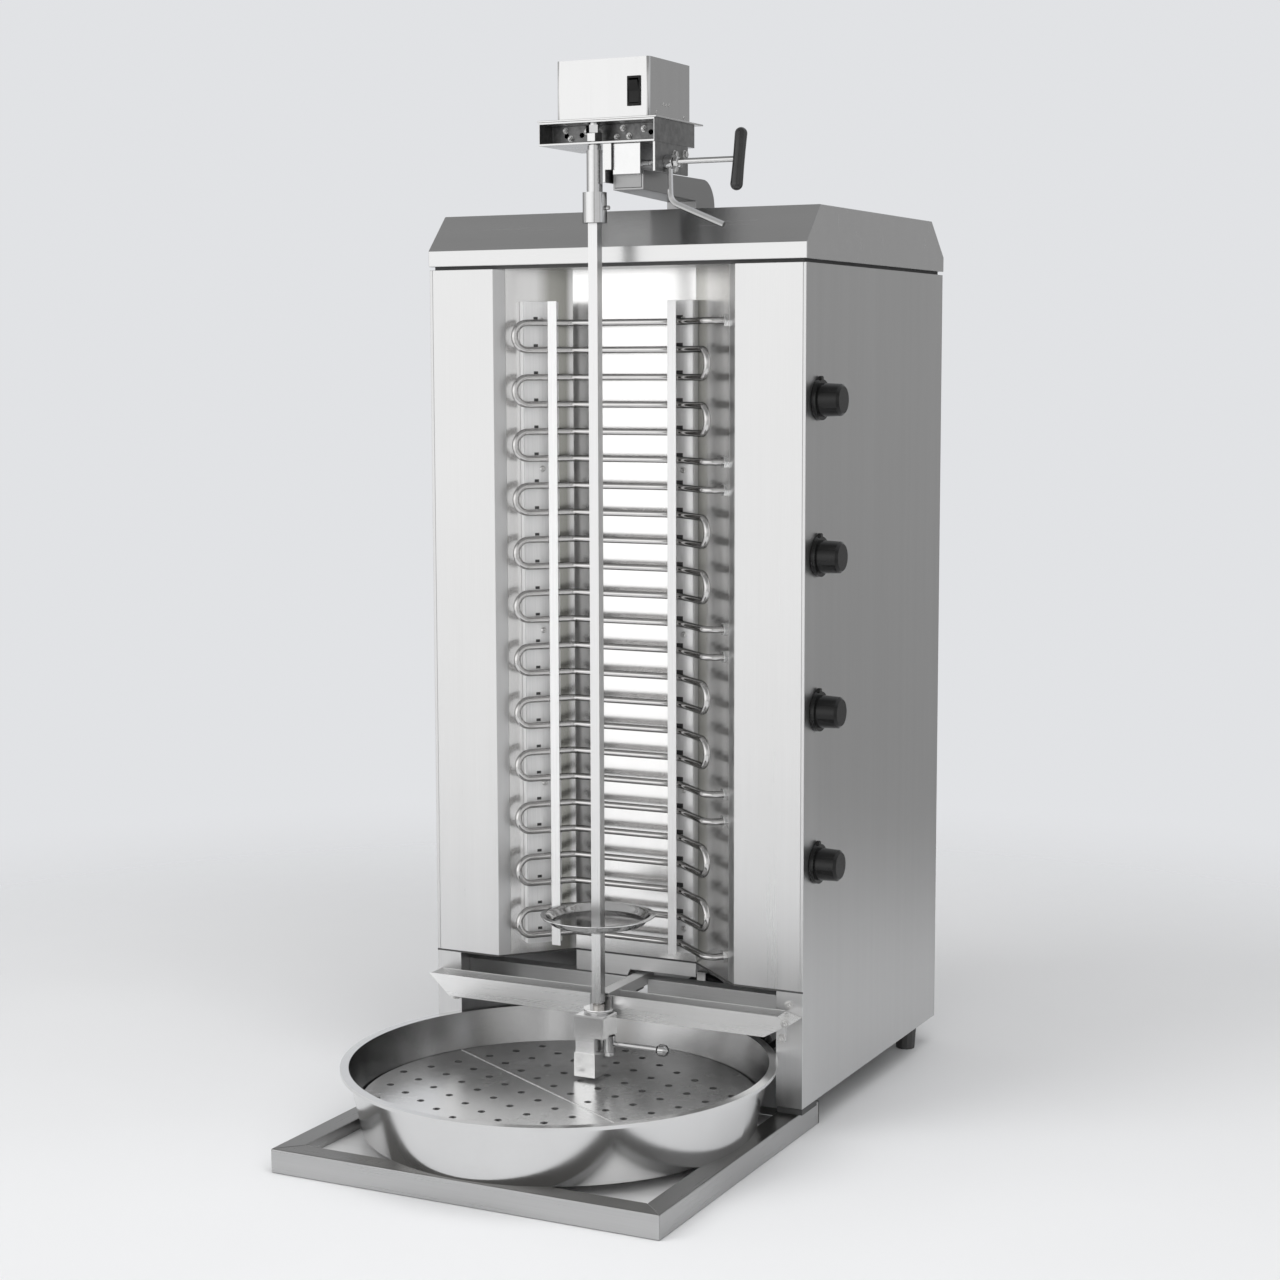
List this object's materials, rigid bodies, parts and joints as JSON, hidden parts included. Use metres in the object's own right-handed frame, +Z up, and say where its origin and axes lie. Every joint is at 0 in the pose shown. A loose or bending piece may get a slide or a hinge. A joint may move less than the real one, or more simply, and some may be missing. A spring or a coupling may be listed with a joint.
{
  "type": "electric doner kebab grill",
  "caption": "Upright rotisserie grill: steel cabinet with a folded heater recess, hanging driven spit with disc, round fat pan on a tube base and round side knobs.",
  "frame": {"origin": "on the floor, under the middle of the cabinet's front plane, on the underside of the base's cross tube", "axes": "+X to the cabinet's right as seen from the front, +Y towards the back, +Z up"},
  "size_m": [0.5376, 0.861, 1.263],
  "materials": {
    "stainless": "brushed",
    "stainless_dark": "brushed",
    "polished": "polished",
    "heater_sheath": "satin, heat-darkened",
    "zinc_steel": "satin",
    "turned_steel": "turned",
    "bronze": "satin",
    "black_plastic": "gloss",
    "black_matte": "matte",
    "regulator_body": "matte",
    "rubber": "matte",
    "cast_drive": "cast"
  },
  "bodies": {
    "cabinet": {"base_front_tube": "stainless", "base_side_tubes": "stainless", "base_cross_tube": "stainless", "base_floor_plate": "stainless_dark", "base_tube_caps": "black_matte", "leg_pads": "rubber", "rear_feet": "rubber", "side_panel_right": "stainless", "side_panel_left": "stainless", "front_panel_right": "stainless", "front_panel_left": "stainless", "reflector": "polished", "casing_floor": "stainless", "rear_panel": "stainless", "cabinet_deck": "stainless_dark", "cap": "stainless_dark", "apron": "stainless_dark", "cross_rail": "stainless", "lower_arm": "stainless", "gutter": "stainless", "heaters": "heater_sheath", "heater_nuts": "zinc_steel", "heater_support_left": "stainless", "heater_support_right": "stainless", "support_spacers": "zinc_steel", "regulators": "regulator_body", "support_arm": "stainless", "slide_block": "cast_drive", "cord_gland": "black_matte", "cord": "rubber", "cord_coil": "rubber", "cord_plug": "black_matte", "cord_clip": "zinc_steel"},
    "head": {"head_tray": "stainless", "head_saddle": "stainless", "head_top_plate": "stainless", "motor_cover": "stainless", "gear_motor": "cast_drive", "switch_bezel": "black_plastic"},
    "carriage": {"bearing_block": "turned_steel", "bearing_bush": "bronze", "slide_bar": "stainless"},
    "carriage_lever": {"carriage_lever": "turned_steel", "lever_ball": "turned_steel"},
    "spit_drive": {"spit": "stainless", "spit_disc": "polished", "output_shaft": "turned_steel", "drive_sleeve": "turned_steel"},
    "coupling_sleeve": {"coupling_sleeve": "turned_steel"},
    "clamp_screw": {"clamp_screw": "turned_steel", "clamp_grip": "black_plastic"},
    "bent_lever": {"bent_lever": "turned_steel"},
    "rocker": {"rocker": "black_plastic"},
    "pan": {"pan": "polished", "insert_rear": "polished"},
    "insert_front": {"insert_front": "polished"},
    "knob_1": {"knob_1": "black_plastic"},
    "knob_2": {"knob_2": "black_plastic"},
    "knob_3": {"knob_3": "black_plastic"},
    "knob_4": {"knob_4": "black_plastic"}
  },
  "joints": [
    {"name": "head_slide", "type": "slide", "parent": "cabinet", "child": "head", "axis": [0, -1, 0], "range_m": [0, 0.045]},
    {"name": "carriage_slide", "type": "slide", "parent": "cabinet", "child": "carriage", "axis": [0, -1, 0], "range_m": [0, 0.045]},
    {"name": "spit_spin", "type": "hinge", "parent": "head", "child": "spit_drive", "pos_m": [0.003, -0.046, 0], "axis": [0, 0, 1], "continuous": true},
    {"name": "sleeve_lift", "type": "slide", "parent": "spit_drive", "child": "coupling_sleeve", "axis": [0, 0, 1], "range_m": [0, 0.025]},
    {"name": "clamp_turn", "type": "hinge", "parent": "head", "child": "clamp_screw", "pos_m": [0.086, -0.028, 1.143], "axis": [1, 0, 0], "range_deg": [0, 360]},
    {"name": "bent_lever_turn", "type": "hinge", "parent": "head", "child": "bent_lever", "pos_m": [0.086, -0.028, 1.143], "axis": [1, 0, 0], "range_deg": [-30, 30]},
    {"name": "rocker_tip", "type": "hinge", "parent": "head", "child": "rocker", "pos_m": [0.0495, -0.034, 1.2245], "axis": [1, 0, 0], "range_deg": [-16, 0]},
    {"name": "carriage_lever_turn", "type": "hinge", "parent": "carriage", "child": "carriage_lever", "pos_m": [0.0192, -0.05, 0.1], "axis": [0, 0, 1], "range_deg": [-80, 0]},
    {"name": "pan_slide", "type": "slide", "parent": "cabinet", "child": "pan", "axis": [0, -1, 0], "range_m": [0, 0.1]},
    {"name": "insert_lift", "type": "slide", "parent": "pan", "child": "insert_front", "axis": [0, 0, 1], "range_m": [0, 0.03]},
    {"name": "knob_1_turn", "type": "hinge", "parent": "cabinet", "child": "knob_1", "pos_m": [0.25, 0.038, 0.3243], "axis": [1, 0, 0], "range_deg": [-270, 0]},
    {"name": "knob_2_turn", "type": "hinge", "parent": "cabinet", "child": "knob_2", "pos_m": [0.25, 0.038, 0.5063], "axis": [1, 0, 0], "range_deg": [-270, 0]},
    {"name": "knob_3_turn", "type": "hinge", "parent": "cabinet", "child": "knob_3", "pos_m": [0.25, 0.038, 0.6883], "axis": [1, 0, 0], "range_deg": [-270, 0]},
    {"name": "knob_4_turn", "type": "hinge", "parent": "cabinet", "child": "knob_4", "pos_m": [0.25, 0.038, 0.8703], "axis": [1, 0, 0], "range_deg": [-270, 0]}
  ],
  "couplings": [
    {"joint": "carriage_slide", "follows": "head_slide", "ratio": 1}
  ]
}
